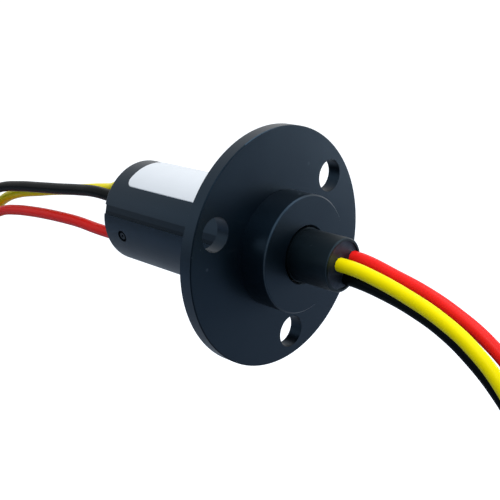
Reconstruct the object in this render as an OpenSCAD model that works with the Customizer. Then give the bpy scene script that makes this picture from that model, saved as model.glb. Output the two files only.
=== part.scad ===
// Capsule slip ring with a flange: three power circuits, three leads out of each end.
// The spin axis is X. The rotor end points along +X, the barrel runs along -X, and +Z is up.
// The origin is the centre of the flange's barrel-side face. All sizes are in millimetres.
// A turn is an angle about X in degrees, from +Y towards +Z.

/* [Flange] */
// Outside diameter of the mounting flange
flange_d = 44.5; // [42:0.5:60]
// Thickness of the flange
flange_t = 2.7; // [1.8:0.1:4]
// Diameter of the circle that the mounting holes lie on
hole_pcd = 35; // [32:0.5:36]
// Diameter of each mounting hole
hole_d = 6.1; // [3:0.1:6.4]
// Number of mounting holes
hole_count = 3; // [2:1:4]
// Turn of the first mounting hole
hole_turn = 40; // [0:1:119]
// Chamfer on the flange's rim
rim_chamfer = 0.12; // [0.08:0.02:0.3]
// Chamfer on the boss's edges
edge_chamfer = 0.25; // [0.1:0.05:0.5]

/* [Boss] */
// Outside diameter of the boss in front of the flange
boss_d = 21.6; // [20:0.2:24]
// Length of the boss from the flange's front face
boss_l = 5.8; // [5.4:0.1:9]

/* [Barrel] */
// Outside diameter of the barrel
barrel_d = 21.1; // [20.9:0.1:22]
// Length of the barrel behind the flange
barrel_l = 36.3; // [35:0.1:48]
// Wall thickness of the barrel
barrel_wall = 1.55; // [1.2:0.05:1.65]
// Radius of the barrel's rounded rear edge
barrel_round = 0.4; // [0.2:0.1:0.9]
// Width of the straight groove along the barrel
groove_w = 1.9; // [0.6:0.1:2.2]
// Depth of the straight groove
groove_depth = 0.5; // [0.2:0.05:0.6]
// Turn of the groove round the barrel
groove_turn = 168; // [160:1:175]

/* [Label] */
// Length of the blank label along the barrel
label_l = 26.7; // [10:0.1:29]
// Width of the label, measured round the barrel
label_w = 16; // [8:0.5:18]
// Thickness of the label
label_t = 0.1; // [0.06:0.02:0.2]
// Corner radius of the label
label_r = 1.5; // [0.5:0.1:3]
// Gap from the barrel's rear end to the label
label_gap = 4.15; // [1:0.05:6]
// Turn of the middle of the label
label_turn = 93; // [90:1:95]

/* [Rotor] */
// Outside diameter of the rotor's stub, which drives the rotor
stub_d = 9.65; // [9.1:0.05:9.9]
// Length of the stub in front of the boss
stub_l = 8.5; // [6:0.05:16]
// Chamfer round the stub's end
stub_chamfer = 0.2; // [0.1:0.05:0.4]
// Wall of the stub round its mouth
mouth_wall = 0.55; // [0.5:0.05:0.9]
// Depth of the mouth that holds the lead seal
mouth_depth = 8; // [5:0.5:8.5]
// Radial gap between the rotor and the boss's front lip
lip_gap = 0.2; // [0.1:0.05:0.4]
// Thickness of the boss's front lip
lip_t = 2; // [1:0.1:2.4]
// Diameter of the rotor where the collector rings sit
core_d = 7.6; // [7.4:0.1:8]
// Diameter of the channel that the rotor's leads run in
channel_d = 5.6; // [5.5:0.1:6]
// Diameter of the rotor behind the collector rings
tail_d = 6; // [5.4:0.1:6.4]

/* [Bearings] */
// Bore of the front ball bearing
front_bore_d = 10; // [10:0.1:10.4]
// Outside diameter of the front ball bearing
front_outer_d = 15; // [14.8:0.1:15.6]
// Bore of the rear ball bearing
rear_bore_d = 4; // [3.8:0.1:4.2]
// Outside diameter of the rear ball bearing
rear_outer_d = 9; // [8.8:0.1:9.2]
// Width of both ball bearings
bearing_w = 4; // [3:0.1:4]
// Diameter of the balls
ball_d = 1.6; // [1.5:0.05:1.65]
// Number of balls in the front bearing
front_balls = 15; // [9:1:16]
// Number of balls in the rear bearing
rear_balls = 7; // [5:1:8]
// Thickness of the wire clip behind the rear bearing
clip_t = 0.4; // [0.3:0.05:0.6]

/* [Collector] */
// Number of circuits
circuits = 3; // [3:1:3]
// Outside diameter of a collector ring
ring_d = 9.2; // [9:0.1:9.8]
// Width of a collector ring
ring_w = 4.6; // [4:0.1:4.8]
// Outside diameter of the barriers between the rings
barrier_d = 11; // [10.6:0.1:11.6]
// Thickness of a barrier
barrier_t = 1.2; // [0.8:0.1:1.3]
// Number of brush wires on each ring
wires_per_ring = 4; // [2:1:5]
// Depth of the grooves that the brush wires run in
wire_groove = 0.25; // [0.15:0.05:0.35]
// Diameter of a brush wire
wire_d = 0.4; // [0.3:0.05:0.5]
// Thickness of the brush board
board_t = 0.8; // [0.6:0.1:1]

/* [Rear cover] */
// Depth of the rear cover's plug in the barrel
plug_l = 7.8; // [7.4:0.1:8.4]
// Radial width of the curved slots round the plug
slot_w = 2.6; // [2.56:0.02:2.7]
// Angle that each curved slot covers
slot_span = 52; // [51:0.5:54]
// Diameter of the two screws that hold the cover
screw_d = 2.4; // [1.6:0.1:2.4]
// Distance of the screws from the barrel's rear end
screw_inset = 5.5; // [3.6:0.1:5.8]
// Turn of the first screw; the second is opposite
screw_turn = 194; // [190:1:196]

/* [Leads] */
// Diameter of a lead over its insulation
lead_d = 2.5; // [2.2:0.1:2.5]
// Diameter of a lead's bare conductor
conductor_d = 1.2; // [0.8:0.1:1.4]
// Length of each lead's stripped end
strip_l = 6; // [3:0.5:8]
// Radius of a coil's outer turn, at the middle of the lead
coil_r = 16.4; // [15:0.1:18]
// Turns in the stator's coil
stator_turns = 1.9; // [1:0.1:3]
// Turns in the rotor's coil
rotor_turns = 2.3; // [1:0.1:3]

/* [Hidden] */
$fn = 72;
fit = 0.02;         // radial gap of pieces that are pressed or glued together
run = 0.05;         // gap of pieces that run on each other, such as balls and brushes
slip = 0.1;         // gap of pieces that slide in by hand
lead_sides = 8;
ball_fn = 24;

lead_r = lead_d / 2;
lead_pitch = lead_d + 0.1;
barrel_r = barrel_d / 2;
bore_r = barrel_r - barrel_wall;
boss_r = boss_d / 2;
boss_end = flange_t + boss_l;
stub_r = stub_d / 2;
rotor_end = boss_end + stub_l;
lip_r = front_bore_d / 2 + lip_gap;
head_h = 0.5;       // height of the cover screws' heads
neck_rise = 0.1;    // the bearing's journal ends this far in front of the boss
bore_end = flange_t - barrel_wall;

// Front bearing: against the back of the lip
front_x1 = boss_end - lip_t;
front_x0 = front_x1 - bearing_w;
// Rear bearing: in the rear cover's pocket, against a step near the pocket's floor
pocket_wall = 1.1;
pocket_extra = 1.5;
cover_wall = 2.5;
rear_x0 = -barrel_l + cover_wall + pocket_extra;
rear_x1 = rear_x0 + bearing_w;
plug_x1 = -barrel_l + plug_l;
hub_r = rear_outer_d / 2 + pocket_wall;
slot_r0 = hub_r + slip;
slot_mid_r = slot_r0 + slot_w / 2;
race_t = 0.75;      // thickness of a bearing ring beside its ball groove

// Collector stack, from the rotor's shoulder backwards
shoulder_l = 1;
shoulder_r = front_bore_d / 2 + race_t - 0.15;
stack_x1 = front_x0 - shoulder_l;
stack_pitch = ring_w + barrier_t;
stack_x0 = stack_x1 - circuits * stack_pitch - barrier_t;
core_r = core_d / 2;
channel_r = channel_d / 2;
channel_x0 = stack_x0 + barrier_t + 1;
wire_r = wire_d / 2;
leg_z = ring_d / 2 - wire_groove + wire_r + run;
leg_pitch = ring_w / (wires_per_ring + 1);

// Brush board: a flat board across the barrel, beyond the barriers on the -Y side
board_face_y = -barrier_d / 2 - 0.6;
board_back_y = board_face_y - board_t;
board_half = sqrt(pow(bore_r - slip, 2) - pow(board_back_y, 2));
board_x1 = bore_end - slip;
board_x0 = stack_x0 - 2.4;
rail_w = 0.8;

// Rotor's mouth and lead seal
mouth_r = stub_r - mouth_wall;
seal_recess = 0.3;
seal_l = 3.5;
seal_x1 = rotor_end - seal_recess;
seal_x0 = seal_x1 - seal_l;
throat_l = 1.4;

// Leads: order of each end is red, yellow, black
lead_colors = ["red", "yellow", [0.08, 0.09, 0.1]];
lead_ring = [1, 3, 2];
rotor_exits = [[2.85, 0.7], [-0.9, 0.3], [1.15, -2.6]];
bundle_r = 1.5;
bundle_turns = [50, 170, 290];
stator_exit_turns = [229, 126, 150];
pad_z = [-3.6, 3.6, 0.2];
slot_turns = [138, 230];
blind_turns = [50, 310];

// Routes of the free leads: x from the face that the lead leaves, y and z from the spin axis
stator_routes = [
    [[0, -4.6, -5.3], [-5, -4.6, -5.35], [-11, -4.6, -5.35], [-17.5, -4.6, -5.15],
     [-24, -4.6, -5.35], [-30.5, -4.6, -5.75], [-37, -4.6, -6.35], [-43.5, -4.6, -7.2],
     [-50, -4.5, -8.6], [-56, -4.4, -11.2], [-61, -4.2, -15], [-64, -4, -19.6],
     [-65, -4, -24.5], [-65, -4, -29]],
    [[0, -4.1, 5.65], [-1.2, -4.08, 5.6], [-3.4, -3.88, 5.1], [-6, -3.45, 4.15],
     [-9.2, -3.3, 3.52], [-12.8, -3.1, 2.87], [-18.5, -3, 1.75], [-26.4, -3, 0.45],
     [-34.9, -3, -1.28], [-44, -2.8, -3.3],
     [-51.5, -2.4, -5.9], [-57.5, -1.9, -9.5], [-62, -1.5, -14.2], [-64.5, -1.4, -19.5],
     [-65, -1.4, -24.5], [-65, -1.4, -29]],
    [[0, -6.05, 3.5], [-3, -6.05, 3.52], [-9, -6, 3.5], [-14.9, -5.75, 2.8],
     [-22.6, -5.7, 1.75], [-30.8, -5.7, 0.72], [-39.5, -5.8, -0.42], [-47.5, -6, -2],
     [-54, -6.3, -4.6], [-59, -6.5, -8.6], [-62.5, -6.6, -13.4], [-64.5, -6.6, -18.8],
     [-65, -6.6, -24], [-65, -6.6, -29]]];
rotor_routes = [
    [[0, 2.85, 0.7], [2.5, 2.85, 0.6], [9, 2.85, -0.7], [15, 2.85, -2.1],
     [21, 2.8, -4.2], [27, 2.7, -7.2], [32, 2.65, -11.2], [36, 2.6, -16.1],
     [38.5, 2.6, -21.5], [39.3, 2.6, -26], [39.3, 2.6, -30]],
    [[0, -0.9, 0.3], [3, -0.9, 0.25], [8, -0.9, -0.5], [14, -0.9, -1.95],
     [20.5, -1.2, -3.95], [26.5, -1.6, -6.85], [32, -2.1, -11.1], [36, -2.5, -16.1],
     [38.5, -2.6, -21.5], [39.3, -2.6, -26], [39.3, -2.6, -30]],
    [[0, 1.15, -2.6], [2.5, 1.15, -2.65], [8.5, 1.15, -3.45], [14, 1.1, -4.7],
     [20, 0.9, -6.8], [25.5, 0.7, -9.95], [30.5, 0.5, -14], [34.5, 0.3, -18.45],
     [37.6, 0.1, -23], [39.1, 0, -27], [39.3, 0, -30]]];
stator_coil_at = [-65 - coil_r, -4, -29];
rotor_coil_at = [39.3 + coil_r, 0, -30];
tie_w = 2.6;
tie_t = 1;

housing_color = [0.15, 0.18, 0.23];
moulded_color = [0.1, 0.11, 0.13];
steel = [0.72, 0.73, 0.75];
gold = [0.85, 0.68, 0.3];
seal_color = [0.2, 0.19, 0.24];

// ---- Helpers ----

// A solid turned about the spin axis from an outline of [radius, x] points
module turned(outline) {
    rotate([0, 90, 0]) rotate_extrude() polygon(outline);
}

// A plain turned ring or disc
module ring(inner_r, outer_r, x0, x1) {
    turned([[inner_r, x0], [outer_r, x0], [outer_r, x1], [inner_r, x1]]);
}

// A part of a ring that covers an angle
module ring_part(inner_r, outer_r, x0, x1, turn, span) {
    rotate([0, 90, 0])
        rotate([0, 0, turn + 90 - span / 2])
            rotate_extrude(angle = span)
                polygon([[inner_r, x0], [outer_r, x0], [outer_r, x1], [inner_r, x1]]);
}

// A rod along the spin axis
module rod_x(r, x0, x1, y, z) {
    translate([x0, y, z]) rotate([0, 90, 0]) cylinder(r = r, h = x1 - x0);
}

// A rod that points outwards from the spin axis
module rod_out(r, x, turn, from_r, to_r) {
    rotate([turn, 0, 0]) translate([x, from_r, 0])
        rotate([-90, 0, 0]) cylinder(r = r, h = to_r - from_r);
}

// A point at a radius and turn, as [y, z]
function at_turn(r, turn) = [r * cos(turn), r * sin(turn)];

// Points of a round corner in an outline
function corner(c, r, from, to, steps = 4) =
    [for (i = [0:steps]) let (a = from + (to - from) * i / steps)
        [c[0] + r * cos(a), c[1] + r * sin(a)]];

function unit(v) = v / norm(v);
function along(p, i) = unit(p[min(i + 1, len(p) - 1)] - p[max(i - 1, 0)]);

// Rings of points round a route, each square to the route
function tube_points(p, r) = [
    for (i = [0:len(p) - 1])
        let (t = along(p, i), n = unit(cross(t, [0, 1, 0])), b = cross(n, t))
            for (k = [0:lead_sides - 1])
                let (a = 360 * (k + 0.5) / lead_sides)
                    p[i] + r * (cos(a) * n + sin(a) * b)];
function tube_sides(count) = [
    for (i = [0:count - 2]) for (k = [0:lead_sides - 1])
        let (j = (k + 1) % lead_sides)
            [i * lead_sides + k, i * lead_sides + j,
             (i + 1) * lead_sides + j, (i + 1) * lead_sides + k]];

// A lead swept along its route
module lead(p, r = lead_r) {
    last = (len(p) - 1) * lead_sides;
    polyhedron(
        tube_points(p, r),
        concat(
            tube_sides(len(p)),
            [[for (k = [0:lead_sides - 1]) lead_sides - 1 - k]],
            [[for (k = [0:lead_sides - 1]) last + k]]));
}

// ---- Stator ----

module stator_housing() {
    outline = concat(
        [[bore_r, -barrel_l]],
        corner([barrel_r - barrel_round, -barrel_l + barrel_round], barrel_round, -90, 0),
        [[barrel_r, 0],
         [flange_d / 2 - rim_chamfer, 0],
         [flange_d / 2, rim_chamfer],
         [flange_d / 2, flange_t - rim_chamfer],
         [flange_d / 2 - rim_chamfer, flange_t],
         [boss_r, flange_t],
         [boss_r, boss_end - edge_chamfer],
         [boss_r - edge_chamfer, boss_end],
         [lip_r + edge_chamfer, boss_end],
         [lip_r, boss_end - edge_chamfer],
         [lip_r, front_x1],
         [front_outer_d / 2, front_x1],
         [front_outer_d / 2, bore_end],
         [bore_r, bore_end]]);
    color(housing_color) {
        difference() {
            turned(outline);
            for (i = [0:hole_count - 1]) {
                p = at_turn(hole_pcd / 2, hole_turn + 360 * i / hole_count);
                rod_x(hole_d / 2, -1, flange_t + 1, p[0], p[1]);
            }
            rotate([groove_turn, 0, 0])
                translate([-barrel_l - 1, barrel_r - groove_depth, -groove_w / 2])
                    cube([barrel_l + 1, 2 * groove_depth, groove_w]);
            for (turn = [screw_turn, screw_turn + 180])
                rod_out(screw_d / 2 + fit, -barrel_l + screw_inset, turn,
                    bore_r - 1, barrel_r + 1);
        }
        board_rails();
    }
}

// Two rails inside the barrel that keep the brush board against the wall
module board_rails() {
    rail_y = board_face_y + fit;
    rail_z = board_half - rail_w / 2;
    for (side = [-1, 1])
        intersection() {
            ring(0, bore_r + barrel_wall / 2, board_x0, bore_end + barrel_wall / 2);
            translate([board_x0, rail_y, side > 0 ? rail_z : -rail_z - bore_r])
                cube([bore_end - board_x0 + barrel_wall / 2, rail_w, bore_r]);
        }
}

module rear_cover() {
    pocket_r = rear_outer_d / 2;
    step_r = pocket_r - race_t - 0.1;
    floor_x = -barrel_l + cover_wall;
    color(moulded_color)
        difference() {
            turned([[0, -barrel_l], [bore_r - fit - edge_chamfer, -barrel_l],
                [bore_r - fit, -barrel_l + edge_chamfer], [bore_r - fit, plug_x1],
                [pocket_r, plug_x1], [pocket_r, rear_x0],
                [step_r, rear_x0], [step_r, floor_x], [0, floor_x]]);
            for (turn = slot_turns)
                ring_part(slot_r0, slot_r0 + slot_w, -barrel_l - 1, plug_x1 + 1,
                    turn, slot_span);
            for (turn = blind_turns)
                ring_part(slot_r0, slot_r0 + slot_w, floor_x, plug_x1 + 1,
                    turn, slot_span);
            for (turn = [screw_turn, screw_turn + 180])
                rod_out(screw_d / 2 + fit, -barrel_l + screw_inset, turn,
                    bore_r - barrel_wall - fit, bore_r + 1);
        }
}

// Two screws through the barrel's wall into the cover's plug, with narrow heads
module cover_screws() {
    socket_d = 0.25 * screw_d;
    top_r = barrel_r - slip;
    color(moulded_color)
        for (turn = [screw_turn, screw_turn + 180])
            difference() {
                union() {
                    rod_out(screw_d / 2, -barrel_l + screw_inset, turn,
                        bore_r - barrel_wall, top_r - head_h);
                    rod_out(0.3 * screw_d, -barrel_l + screw_inset, turn,
                        bore_r, top_r);
                }
                rotate([turn, 0, 0])
                    translate([-barrel_l + screw_inset, top_r - socket_d, 0])
                        rotate([-90, 0, 0]) cylinder(d = socket_d, h = screw_d, $fn = 6);
            }
}

module blank_label() {
    half_w = (barrel_r + label_t) * sin(label_w / barrel_r * 90 / PI);
    half_l = label_l / 2;
    color("white")
        intersection() {
            ring(barrel_r, barrel_r + label_t, -barrel_l, 0);
            rotate([label_turn, 0, 0])
                translate([-barrel_l + label_gap + half_l, 0, 0])
                    rotate([-90, 0, 0])
                        linear_extrude(2 * barrel_r) {
                            square([2 * half_l, 2 * (half_w - label_r)], center = true);
                            square([2 * (half_l - label_r), 2 * half_w], center = true);
                            for (x = [-1, 1], y = [-1, 1])
                                translate([x * (half_l - label_r), y * (half_w - label_r)])
                                    circle(r = label_r);
                        }
        }
}

// ---- Bearings ----

function ball_circle(bore_d, outer_d) = (bore_d + outer_d) / 4;

module bearing_outer(bore_d, outer_d, x0) {
    color(steel)
        rotate([0, 90, 0]) rotate_extrude()
            difference() {
                translate([outer_d / 2 - race_t, x0]) square([race_t, bearing_w]);
                translate([ball_circle(bore_d, outer_d), x0 + bearing_w / 2])
                    circle(r = ball_d / 2 + run, $fn = 48);
            }
}

module bearing_inner(bore_d, outer_d, x0) {
    color(steel)
        rotate([0, 90, 0]) rotate_extrude()
            difference() {
                translate([bore_d / 2, x0]) square([race_t, bearing_w]);
                translate([ball_circle(bore_d, outer_d), x0 + bearing_w / 2])
                    circle(r = ball_d / 2 + run, $fn = 48);
            }
}

module at_balls(bore_d, outer_d, x0, count) {
    for (i = [0:count - 1])
        rotate([360 * i / count, 0, 0])
            translate([x0 + bearing_w / 2, ball_circle(bore_d, outer_d), 0]) children();
}

module bearing_balls(bore_d, outer_d, x0, count) {
    color(steel)
        at_balls(bore_d, outer_d, x0, count) sphere(d = ball_d, $fn = ball_fn);
}

module bearing_cage(bore_d, outer_d, x0, count) {
    cage_t = 0.5;
    cage_w = ball_d + 0.8;
    mid_r = ball_circle(bore_d, outer_d);
    color(gold)
        difference() {
            ring(mid_r - cage_t / 2, mid_r + cage_t / 2,
                x0 + (bearing_w - cage_w) / 2, x0 + (bearing_w + cage_w) / 2);
            at_balls(bore_d, outer_d, x0, count)
                rotate([-90, 0, 0])
                    cylinder(r = ball_d / 2 + run, h = 2 * cage_t, center = true, $fn = ball_fn);
        }
}

module front_bearing_outer() { bearing_outer(front_bore_d, front_outer_d, front_x0); }
module front_bearing_inner() { bearing_inner(front_bore_d, front_outer_d, front_x0); }
module front_bearing_balls() { bearing_balls(front_bore_d, front_outer_d, front_x0, front_balls); }
module front_bearing_cage() { bearing_cage(front_bore_d, front_outer_d, front_x0, front_balls); }
module rear_bearing_outer() { bearing_outer(rear_bore_d, rear_outer_d, rear_x0); }
module rear_bearing_inner() { bearing_inner(rear_bore_d, rear_outer_d, rear_x0); }
module rear_bearing_balls() { bearing_balls(rear_bore_d, rear_outer_d, rear_x0, rear_balls); }
module rear_bearing_cage() { bearing_cage(rear_bore_d, rear_outer_d, rear_x0, rear_balls); }

// ---- Brushes ----

// The middle of a circuit's collector ring, counted from the front
function ring_x(i) = stack_x1 - (i - 0.5) * stack_pitch - barrier_t / 2;
function wire_x(i, k) = ring_x(i) + (k - (wires_per_ring - 1) / 2) * leg_pitch;

module brush_board() {
    color([0.1, 0.35, 0.18])
        difference() {
            translate([board_x0, board_back_y, -board_half])
                cube([board_x1 - board_x0, board_t, 2 * board_half]);
            for (i = [1:circuits], k = [0:wires_per_ring - 1], side = [-1, 1])
                translate([wire_x(i, k), board_back_y - 1, side * leg_z])
                    rotate([-90, 0, 0]) cylinder(r = wire_r + fit, h = board_t + 2, $fn = 16);
        }
}

// The spring wires of one circuit: each is a staple whose legs pass over and under the ring
module brush_set(i) {
    web_y = board_back_y - wire_r;
    tip_y = ring_d / 4;
    color(gold)
        for (k = [0:wires_per_ring - 1])
            translate([wire_x(i, k), 0, 0]) {
                for (side = [-1, 1])
                    translate([0, web_y, side * leg_z]) {
                        rotate([-90, 0, 0]) cylinder(r = wire_r, h = tip_y - web_y, $fn = 16);
                        sphere(r = wire_r, $fn = 16);
                    }
                translate([0, web_y, -leg_z]) cylinder(r = wire_r, h = 2 * leg_z, $fn = 16);
            }
}

// ---- Stator leads inside the barrel ----

function stator_exit(i) = at_turn(slot_mid_r, stator_exit_turns[i]);
function pad_y() = board_face_y + conductor_d / 2;

// From each exit slot to the brush board, with the bare end on the board
module stator_inner_leads() {
    end_x = board_x0 - 1;
    for (i = [0:circuits - 1]) {
        e = stator_exit(i);
        bend = plug_x1 - end_x;
        color(lead_colors[i])
            lead([
                [-barrel_l, e[0], e[1]],
                [plug_x1 - 0.5, e[0], e[1]],
                [plug_x1 - 0.3 * bend, 0.8 * e[0] + 0.2 * pad_y(), 0.8 * e[1] + 0.2 * pad_z[i]],
                [plug_x1 - 0.7 * bend, 0.2 * e[0] + 0.8 * pad_y(), 0.2 * e[1] + 0.8 * pad_z[i]],
                [end_x - 0.6, pad_y(), pad_z[i]],
                [end_x, pad_y(), pad_z[i]]]);
        color(steel)
            rod_x(conductor_d / 2, end_x - conductor_d / 2, board_x0 + 1.8, pad_y(), pad_z[i]);
    }
}

// Sealing compound round the leads in the two exit slots
module stator_lead_seal() {
    color(seal_color)
        difference() {
            for (turn = slot_turns)
                ring_part(slot_r0 + fit, slot_r0 + slot_w - fit,
                    -barrel_l + 0.3, -barrel_l + 3, turn, slot_span - 0.5);
            for (i = [0:circuits - 1]) {
                e = stator_exit(i);
                rod_x(lead_r + fit, -barrel_l - 1, plug_x1, e[0], e[1]);
            }
        }
}

// ---- Rotor ----

// One turned moulding: stub, bearing journals, collector seat and tail, with the leads' channel
module rotor_shaft() {
    journal_r = rear_bore_d / 2;
    groove_x = rear_x0 - fit;
    tail_shoulder = 0.8;
    outline = [
        [mouth_r, rotor_end],
        [mouth_r, rotor_end - mouth_depth],
        [channel_r, rotor_end - mouth_depth - throat_l],
        [channel_r, channel_x0],
        [0, channel_x0],
        [0, groove_x - 2 * clip_t],
        [journal_r - 0.2, groove_x - 2 * clip_t],
        [journal_r, groove_x - 2 * clip_t + 0.2],
        [journal_r, groove_x - clip_t],
        [journal_r - clip_t / 2, groove_x - clip_t],
        [journal_r - clip_t / 2, groove_x],
        [journal_r, groove_x],
        [journal_r, rear_x1],
        [journal_r + race_t - 0.15, rear_x1],
        [journal_r + race_t - 0.15, rear_x1 + tail_shoulder],
        [tail_d / 2, rear_x1 + tail_shoulder],
        [tail_d / 2, stack_x0],
        [core_r, stack_x0],
        [core_r, stack_x1],
        [shoulder_r, stack_x1],
        [shoulder_r, front_x0],
        [front_bore_d / 2, front_x0],
        [front_bore_d / 2, boss_end + neck_rise],
        [stub_r, boss_end + neck_rise],
        [stub_r, rotor_end - stub_chamfer],
        [stub_r - stub_chamfer, rotor_end]];
    color(moulded_color)
        difference() {
            turned(outline);
            for (i = [0:circuits - 1])
                rod_out(conductor_d / 2 + slip, ring_x(lead_ring[i]), bundle_turns[i],
                    bundle_r, core_r + 1);
        }
}

// An open wire clip in the groove behind the rear bearing
module shaft_clip() {
    groove_r = rear_bore_d / 2 - clip_t / 2 + fit;
    clip_x1 = rear_x0 - 2 * fit;
    color(steel)
        difference() {
            ring(groove_r, groove_r + 1.1, clip_x1 - clip_t + 3 * fit, clip_x1);
            translate([clip_x1 - clip_t, -groove_r / 2, 0])
                cube([clip_t + 1, groove_r, 2 * groove_r]);
        }
}

module collector_ring(i) {
    x1 = ring_x(i) + ring_w / 2;
    x0 = ring_x(i) - ring_w / 2;
    grooves = [
        for (k = [0:wires_per_ring - 1], s = [-1, 0, 1])
            [ring_d / 2 - (s == 0 ? wire_groove + wire_r : 0), wire_x(i, k) + s * wire_r * 1.6]];
    color(gold)
        turned(concat([[core_r + fit, x0], [ring_d / 2, x0]], grooves,
            [[ring_d / 2, x1], [core_r + fit, x1]]));
}

module ring_barrier(i) {
    x1 = stack_x1 - (i - 1) * stack_pitch;
    color("ivory")
        ring(core_r + fit, barrier_d / 2, x1 - barrier_t, x1);
}

// From the seal in the mouth, through the channel, to each collector ring
module rotor_inner_leads() {
    throat_x = rotor_end - mouth_depth - throat_l;
    for (i = [0:circuits - 1]) {
        e = rotor_exits[i];
        b = at_turn(bundle_r, bundle_turns[i]);
        x = ring_x(lead_ring[i]);
        bare_x = x + lead_r;
        color(lead_colors[i])
            lead([
                [seal_x1, e[0], e[1]],
                [seal_x0, e[0], e[1]],
                [(2 * seal_x0 + throat_x) / 3, (3 * e[0] + b[0]) / 4, (3 * e[1] + b[1]) / 4],
                [(seal_x0 + 2 * throat_x) / 3, (e[0] + 3 * b[0]) / 4, (e[1] + 3 * b[1]) / 4],
                [throat_x, b[0], b[1]],
                [bare_x, b[0], b[1]]]);
        color(steel) {
            rod_x(conductor_d / 2, x - conductor_d / 2, bare_x + conductor_d / 2, b[0], b[1]);
            rod_out(0.4 * conductor_d, x, bundle_turns[i], bundle_r, core_r - run);
        }
    }
}

// Sealing compound in the stub's mouth
module rotor_lead_seal() {
    color(seal_color)
        difference() {
            ring(0, mouth_r - fit, seal_x0, seal_x1);
            for (e = rotor_exits)
                rod_x(lead_r + fit, seal_x0 - 1, seal_x1 + 1, e[0], e[1]);
        }
}

// ---- Free leads, put away in a tied coil at each end ----

module stator_lead(i) {
    color(lead_colors[i]) translate([-barrel_l, 0, 0]) lead(stator_routes[i]);
}

module rotor_lead(i) {
    color(lead_colors[i]) translate([seal_x1, 0, 0]) lead(rotor_routes[i]);
}

function coil_inner_r(turns) = coil_r - turns * lead_pitch - lead_r;

// The outer shape of a coil of three leads that lie side by side; its axis is Y
module coil(turns) {
    half_t = lead_pitch + lead_r;
    rotate([90, 0, 0])
        rotate_extrude()
            translate([coil_inner_r(turns), -half_t])
                square([coil_r + lead_r - coil_inner_r(turns), 2 * half_t]);
}

// A band round the coil's section, at an angle from +X towards +Z
module coil_tie(turns, angle) {
    half_t = lead_pitch + lead_r + tie_t;
    inner = coil_inner_r(turns) - tie_t;
    color("white")
        difference() {
            rotate([0, -angle, 0])
                translate([inner, -half_t, -tie_w / 2])
                    cube([coil_r + lead_r + tie_t - inner, 2 * half_t, tie_w]);
            coil(turns);
        }
}

// Stripped ends that leave the coil's inside and point a little inwards from its tangent
module coil_tips(turns, angle, heading) {
    color(steel)
        for (side = [-1, 0, 1])
            translate([coil_inner_r(turns) * cos(angle), side * lead_pitch,
                coil_inner_r(turns) * sin(angle)])
                rotate([0, -(angle + heading), 0])
                    rotate([0, 90, 0]) cylinder(d = conductor_d, h = strip_l);
}

module stator_lead_coil() {
    color("dimgray") translate([-barrel_l, 0, 0]) translate(stator_coil_at) coil(stator_turns);
}
module stator_coil_tie() {
    translate([-barrel_l, 0, 0]) translate(stator_coil_at) coil_tie(stator_turns, -50);
}
module stator_lead_tips() {
    translate([-barrel_l, 0, 0]) translate(stator_coil_at)
        coil_tips(stator_turns, -360 * stator_turns, -113);
}
module rotor_lead_coil() {
    color("dimgray") translate([seal_x1, 0, 0]) translate(rotor_coil_at) coil(rotor_turns);
}
module rotor_coil_tie() {
    translate([seal_x1, 0, 0]) translate(rotor_coil_at) coil_tie(rotor_turns, -130);
}
module rotor_lead_tips() {
    translate([seal_x1, 0, 0]) translate(rotor_coil_at)
        coil_tips(rotor_turns, 180 + 360 * rotor_turns, 113);
}

// ---- Nodes ----

stator_housing();
rear_cover();
cover_screws();
blank_label();
front_bearing_outer();
front_bearing_inner();
front_bearing_balls();
front_bearing_cage();
rear_bearing_outer();
rear_bearing_inner();
rear_bearing_balls();
rear_bearing_cage();
brush_board();
brush_set(1);  // brush_set_1
brush_set(2);  // brush_set_2
brush_set(3);  // brush_set_3
stator_inner_leads();
stator_lead_seal();
stator_lead(0);  // stator_lead_red
stator_lead(1);  // stator_lead_yellow
stator_lead(2);  // stator_lead_black
stator_lead_coil();
stator_coil_tie();
stator_lead_tips();
rotor_shaft();
shaft_clip();
rotor_inner_leads();
rotor_lead_seal();
collector_ring(1);  // collector_ring_1
collector_ring(2);  // collector_ring_2
collector_ring(3);  // collector_ring_3
ring_barrier(1);  // ring_barrier_1
ring_barrier(2);  // ring_barrier_2
ring_barrier(3);  // ring_barrier_3
ring_barrier(4);  // ring_barrier_4
rotor_lead(0);  // rotor_lead_red
rotor_lead(1);  // rotor_lead_yellow
rotor_lead(2);  // rotor_lead_black
rotor_lead_coil();
rotor_coil_tie();
rotor_lead_tips();
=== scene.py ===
"""Flanged capsule slip ring: free leads, finishes, surface marks, floor, light and camera.

Lengths are in millimetres where a name says mm, and in metres where a call needs them.
A turn is an angle round the spin axis (X), in degrees, from +Y towards +Z.
"""
import itertools
import math
import random

import bmesh
import bpy
from mathutils import Matrix, Vector


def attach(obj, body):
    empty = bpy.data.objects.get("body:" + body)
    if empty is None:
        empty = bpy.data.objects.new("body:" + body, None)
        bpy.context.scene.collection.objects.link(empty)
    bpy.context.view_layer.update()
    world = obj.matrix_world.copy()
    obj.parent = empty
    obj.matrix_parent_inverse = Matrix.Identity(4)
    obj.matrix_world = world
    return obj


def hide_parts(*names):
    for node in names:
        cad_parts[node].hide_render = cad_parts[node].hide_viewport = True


MM = 0.001

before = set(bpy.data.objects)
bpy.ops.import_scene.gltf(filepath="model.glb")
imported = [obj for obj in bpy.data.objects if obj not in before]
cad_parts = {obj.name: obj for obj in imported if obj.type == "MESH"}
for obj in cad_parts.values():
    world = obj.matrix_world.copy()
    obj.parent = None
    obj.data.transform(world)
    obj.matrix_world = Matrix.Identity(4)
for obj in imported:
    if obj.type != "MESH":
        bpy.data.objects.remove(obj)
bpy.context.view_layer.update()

# ---- Camera ----

CAMERA_PLACE_MM = (102.38, -111.62, 46.97)
CAMERA_AZIMUTH = 43.94
CAMERA_ELEVATION = 17.57
CAMERA_LENS = 62.2
FILM_WIDTH = 36.0


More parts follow.
